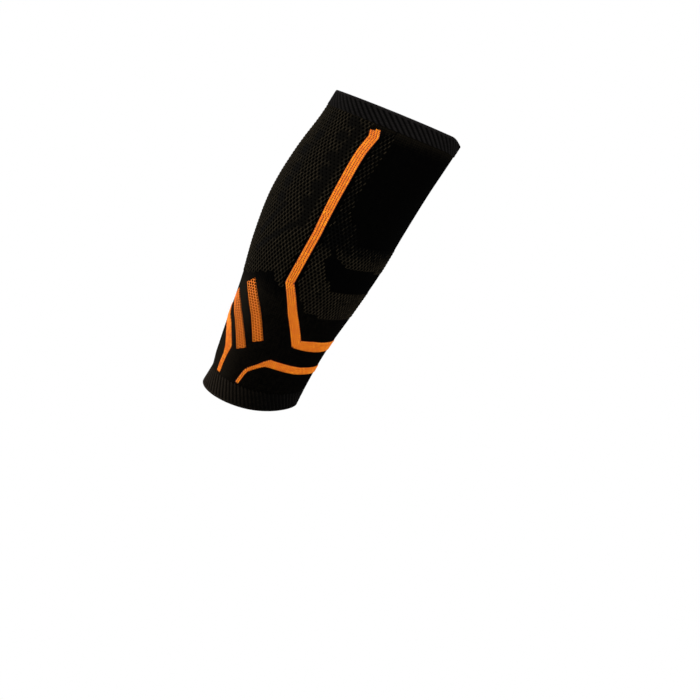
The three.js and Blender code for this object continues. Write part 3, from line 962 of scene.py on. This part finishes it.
# What a stretch of a line keeps to: the slope at which it climbs, the thin slanted ones that take finer
# stitches, and how short a row may be, as a share of a stitch and, at a free end, of the line's width
rowRules = {"climb": 0.55, "thin": 5 * mm, "slanted": (0.5, 2), "fine": 0.6,
            "stitch": 0.45, "freeEnd": 0.45}


# Stitch places fill each stretch of a path evenly: course by course where it climbs, else wale by wale
def stitchSites(corners):
    sites = []
    tall = sleeve["height"]
    for number, (start, end) in enumerate(zip(corners[:-1], corners[1:])):
        middles = np.array([start.mean(axis=0), end.mean(axis=0)])
        free = {0: 0, len(corners) - 2: 1}.get(number)
        patch = np.array([start[0], end[0], end[1], start[1]])
        run = (end.mean(axis=0) - start.mean(axis=0)) * (girthAt(patch[:, 1].mean()), tall)
        climbs = abs(run[1]) > rowRules["climb"] * abs(run[0])
        axis = 1 if climbs else 0
        wide = np.linalg.norm((start[1] - start[0]) * (girthAt(patch[:, 1].mean()), tall))
        least, most = rowRules["slanted"]
        slanted = least * abs(run[0]) < abs(run[1]) < most * abs(run[0])
        fine = rowRules["fine"] if wide < rowRules["thin"] and slanted else 1.0
        step = fine * (knit["step"] if climbs else 1 / knit["wales"])
        first = knit["low"] if climbs else 0.0
        low, high = patch[:, axis].min(), patch[:, axis].max()
        for k in range(int((low - first) / step) - 1, int((high - first) / step) + 2):
            place = first + (k + 0.5) * step
            ends = crossing(patch, axis, place)
            if ends is None:
                continue
            pitch = fine * (1 / knit["wales"] if climbs else knit["step"])
            count = max(1, round((ends[1] - ends[0]) / pitch))
            stretch = (ends[1] - ends[0]) / pitch / count
            reach = (ends[1] - ends[0]) * (girthAt(place) if climbs else tall)
            loose = free is not None and np.argmin(abs(middles[:, axis] - place)) == free
            if stretch < rowRules["stitch"] or (loose and reach < rowRules["freeEnd"] * wide):
                continue
            for n in range(count):
                other = ends[0] + (n + 0.5) / count * (ends[1] - ends[0])
                if climbs:
                    sites.append((other, place, fine * stretch, fine))
                else:
                    sites.append((place, other, fine, fine * stretch))
    return np.array(sites)


def stitchRun(name, path, material, node):
    size = {
        "skinTop": 0.06 * mm, "skinFoot": -0.8 * mm, "skinColumns": 7,
        "skinTrim": 0.2, "trim": 0.5,  # mm off the line's width
        "width": 2.0 * mm, "height": knit["step"] * sleeve["height"],  # of a whole stitch
        "yarn": 0.31 * mm, "lift": 0.16 * mm, "mottle": 0.5,
    }
    skin = ribbonLines(widePath(path, size["skinTrim"]))
    skinPoints, skinFaces = ribbonSkin(skin, size["skinColumns"], size["skinTop"], size["skinFoot"])
    sites = stitchSites(ribbonCorners(widePath(path, size["trim"])))
    around, height = sites[:, 0], sites[:, 1]
    count = len(sites)
    width = girthAt(height) / knit["wales"] * sites[:, 2]
    random = np.random.default_rng(count)

    def afterSkin(values, skinValue=0.0):
        return np.concatenate([np.full((len(skinPoints), *values.shape[1:]), skinValue), values])

    # Painted shade: the skin takes the shaded colour, as shade in the gaps between the stitches
    points = np.concatenate([skinPoints, onSleeve(around, height, size["lift"])])
    piece = buildMesh(name, points, skinFaces, None, {
        "stitch": afterSkin(np.ones(count)),
        "out": afterSkin(outAt(around, height)),
        "up": afterSkin(upAt(around, height)),
        "size": afterSkin(np.stack([width / size["width"], sites[:, 3], np.ones(count)], axis=1)),
        "tone": afterSkin(random.normal(0, size["mottle"], count)),
        "shaded": afterSkin(np.zeros(count), 1.0),
    })
    runTree(piece, knitStitches, size, material)
    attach(piece, "root")
    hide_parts(node)


lineNodes = {"shinLine": "shin_line", "ankleLine": "ankle_line", "backLine": "back_line"}
for name, path in ribbonPaths.items():
    stitchRun(name, mirroredPath(path), lineKnit, lineNodes[name])


# Vents: orange nets over a floor painted dark as shade, their cells squared off along the edges. Cells stand
# three grid steps apart across and two along, and every second column stands one step on.
ventRing = np.array([(2, 0), (1, 1), (-1, 1), (-2, 0), (-1, -1), (1, -1)])


def ventCells(name, path, across, pitch, top):
    corners = ribbonCorners(widePath(path))
    steps = [np.linalg.norm(unrolled(*pair)) for pair in zip(path[:-1], path[1:])]
    reached = np.concatenate([[0], np.cumsum(steps)])
    along = round(reached[-1] / pitch)
    column, row = np.meshgrid(np.arange(across), np.arange(-1, along + 1), indexing="ij")
    column, row = column.ravel(), row.ravel()
    middle = np.stack([3 * column + 2, 2 * row + 1 + column % 2], axis=1)
    grid = middle[:, None, :] + ventRing[None]
    inside = (grid[..., 1].max(axis=1) > 0) & (grid[..., 1].min(axis=1) < 2 * along)
    grid = grid[inside]
    sideways = np.clip((grid[..., 0] - 0.5) / (3 * across), 0, 1)
    lengthways = np.clip(grid[..., 1] / (2 * along), 0, 1)
    places = np.round(np.stack([sideways, lengthways], axis=-1), 6).reshape(-1, 2)
    keys, faces = np.unique(places, axis=0, return_inverse=True)
    faces = faces.reshape(-1, 6)
    place = keys[:, 1] * reached[-1]
    edgeAt = lambda side, axis: np.interp(place, reached, corners[:, side, axis])
    edge = np.array([[edgeAt(side, axis) for axis in (0, 1)] for side in (0, 1)])
    flat = (edge[0] * (1 - keys[:, 0]) + edge[1] * keys[:, 0]).T
    points = onSleeve(flat[:, 0], flat[:, 1], top)
    return polygonMesh(name, points, facedOut(points, faces))


def polygonMesh(name, points, faces):  # corners that fall together are left out of a face
    mesh = bpy.data.meshes.new(name)
    rings = []
    for face in faces.tolist():
        ring = [corner for k, corner in enumerate(face) if corner != face[k - 1]]
        if len(set(ring)) == len(ring) and len(ring) > 2:
            rings.append(ring)
    mesh.from_pydata(points.tolist(), [], rings)
    mesh.validate()
    return addObject(name, mesh)


def makeVent(name, path, node):
    size = {
        "across": 4,  # cells side by side
        "pitch": 2.2 * mm, "top": 0.2 * mm, "strand": 0.3 * mm, "depth": 0.35 * mm,
        "shoulder": 0.88, "hole": 0.88, "foot": 0.98,
    }
    piece = ventCells(name, path, size["across"], size["pitch"], size["top"])
    runTree(piece, openNet, size, ventKnit)
    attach(piece, "root")
    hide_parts(node)


for number, path in enumerate(ventPaths, 1):
    makeVent(f"outerVent{number}", path, f"outer_vent_{number}")
    makeVent(f"innerVent{number}", [(1 - around, height, width) for around, height, width in path],
             f"inner_vent_{number}")


# Rounds a free edge from outside to inside
def rimRow(edge, inward, radius, outer, inner, steps=5):
    turn = np.linspace(0, math.pi / 2, steps)
    drop = radius * (1 - np.sin(turn)) / sleeve["height"]
    offset = outer - radius * (1 - np.cos(turn))
    heights = edge + inward * drop
    back = (outer + inner - offset)[::-1]
    return np.concatenate([heights, heights[::-1]]), np.concatenate([offset, back])


# Ankle cuff and knee band: closed rings whose outer face carries slanted ribs. The rows run from the outer
# face round the rim and back inside, or the other way where order is -1.
def ribbedRing(name, size, outer, rim, faces, order, material):
    inner = np.linspace(rim[0][-1], outer[0], size["innerRows"])[1:]
    heights = np.concatenate([outer, rim[0], inner])[::order]
    offsets = np.concatenate([outer * 0 + faces[0], rim[1], inner * 0 + faces[1]])[::order]
    relief = np.concatenate([outer * 0 + 1, rim[0] * 0, inner * 0])[::order]
    columns = size["ribs"] * size["perRib"]
    around = np.arange(columns) / columns
    piece = tubeWall(name, around, heights, np.repeat(offsets[:, None], columns, axis=1), {
        "phase": around[None, :] - size["slant"] * heights[:, None],
        "tone": np.repeat(ringPaintedLight(around)[None, :], len(heights), axis=0),
        "relief": np.repeat(relief[:, None], columns, axis=1),
    })
    return runTree(piece, ribs, size, material)


def makeCuff():
    size = {
        "ribs": 70, "depth": 0.8 * mm, "roundness": 0.7, "perRib": 8, "slant": 0.6,
        "rows": 16, "innerRows": 6,
        "ribStart": 2.2,  # above the rim, in roundings of its edge
    }
    faces = (0, -sleeve["cuffWall"])
    rim = rimRow(0, 1, sleeve["cuffEdge"], *faces)
    outer = np.linspace(cuffShare, size["ribStart"] * sleeve["cuffEdge"] / sleeve["height"], size["rows"])
    piece = ribbedRing("cuffKnit", size, outer, rim, faces, -1, cuffKnit)
    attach(piece, "root")
    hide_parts("bottom_cuff")


def makeBand():
    size = {
        "ribs": 64, "depth": 0.4 * mm, "roundness": 1.0, "perRib": 8, "slant": 1.0,
        "rows": 14, "innerRows": 6,
    }
    faces = (sleeve["bandProud"], sleeve["bandProud"] - sleeve["bandWall"])
    rim = rimRow(1, -1, sleeve["bandEdge"], *faces)
    outer = np.linspace(bandShare, rim[0][0], size["rows"])[:-1]
    piece = ribbedRing("bandKnit", size, outer, rim, faces, 1, bandKnit)
    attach(piece, "root")
    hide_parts("top_band")


makeCuff()
makeBand()

# Camera: the photograph's own view, leaning with the leg
view = {"drop": 8, "lean": 28.1, "distance": 1500 * mm, "aim": (0, 0, -37.5 * mm), "perPixel": 0.785 * mm,
        "aimPixel": (325, 256.5), "pixels": 700, "sensor": 36}


def makeCamera():
    drop, lean = math.radians(view["drop"]), math.radians(view["lean"])
    ahead = Vector((0, math.cos(drop), -math.sin(drop)))
    level = Vector((1, 0, 0))
    upright = Vector((0, math.sin(drop), math.cos(drop)))
    right = level * math.cos(lean) + upright * math.sin(lean)
    up = upright * math.cos(lean) - level * math.sin(lean)
    middle = view["pixels"] / 2
    place = Vector(view["aim"]) - ahead * view["distance"]
    place -= right * (view["aimPixel"][0] - middle) * view["perPixel"]
    place -= up * (middle - view["aimPixel"][1]) * view["perPixel"]
    camera = bpy.data.cameras.new("photoView")
    camera.sensor_width = view["sensor"]
    camera.lens = view["sensor"] * view["distance"] / view["perPixel"] / view["pixels"]
    camera.clip_end = 20
    holder = addObject("photoView", camera)
    holder.matrix_world = Matrix((
        (right.x, up.x, -ahead.x, place.x),
        (right.y, up.y, -ahead.y, place.y),
        (right.z, up.z, -ahead.z, place.z),
        (0, 0, 0, 1),
    ))
    bpy.context.scene.camera = holder
    return right, up, -ahead


# Round lamps that face the sleeve: the way to each as right, up and back in the view; size in metres; watts
lamps = {
    "keyLight": {"way": (-0.35, 0.5, 1.0), "size": 0.7, "power": 15, "colour": (1, 0.98, 0.95)},
    "rimLight": {"way": (-1.0, 0.1, -0.3), "size": 0.5, "power": 13, "colour": (1, 0.93, 0.86)},
    "fillLight": {"way": (0.9, -0.15, 0.7), "size": 0.9, "power": 13.5, "colour": (1, 0.98, 0.96)},
}
lampDistance = 1200 * mm


def makeLight(name, axes):
    lamp = bpy.data.lights.new(name, "AREA")
    lamp.shape = "DISK"
    lamp.size = lamps[name]["size"]
    lamp.energy = lamps[name]["power"]
    lamp.color = lamps[name]["colour"]
    holder = addObject(name, lamp)
    way = sum((axis * share for axis, share in zip(axes, lamps[name]["way"])), Vector())
    way.normalize()
    holder.location = way * lampDistance
    holder.rotation_euler = way.to_track_quat("Z", "Y").to_euler()


axes = makeCamera()
for name in lamps:
    makeLight(name, axes)
print("lit")

# A soft white room: dimmer as light than as backdrop
roomLight = 0.35
world = bpy.data.worlds.new("studio")
world.use_nodes = True
bpy.context.scene.world = world
sky = world.node_tree
soft = sky.nodes["Background"]
soft.inputs["Color"].default_value = (1, 1, 1, 1)
soft.inputs["Strength"].default_value = roomLight
white = addNode(sky, "ShaderNodeBackground", {"Color": (1, 1, 1, 1), "Strength": 1.0})
seen = addNode(sky, "ShaderNodeLightPath")
both = addNode(sky, "ShaderNodeMixShader", {0: seen.outputs["Is Camera Ray"]})
sky.links.new(soft.outputs[0], both.inputs[1])
sky.links.new(white.outputs[0], both.inputs[2])
sky.links.new(both.outputs[0], sky.nodes["World Output"].inputs["Surface"])
bpy.context.scene.view_settings.view_transform = "Standard"
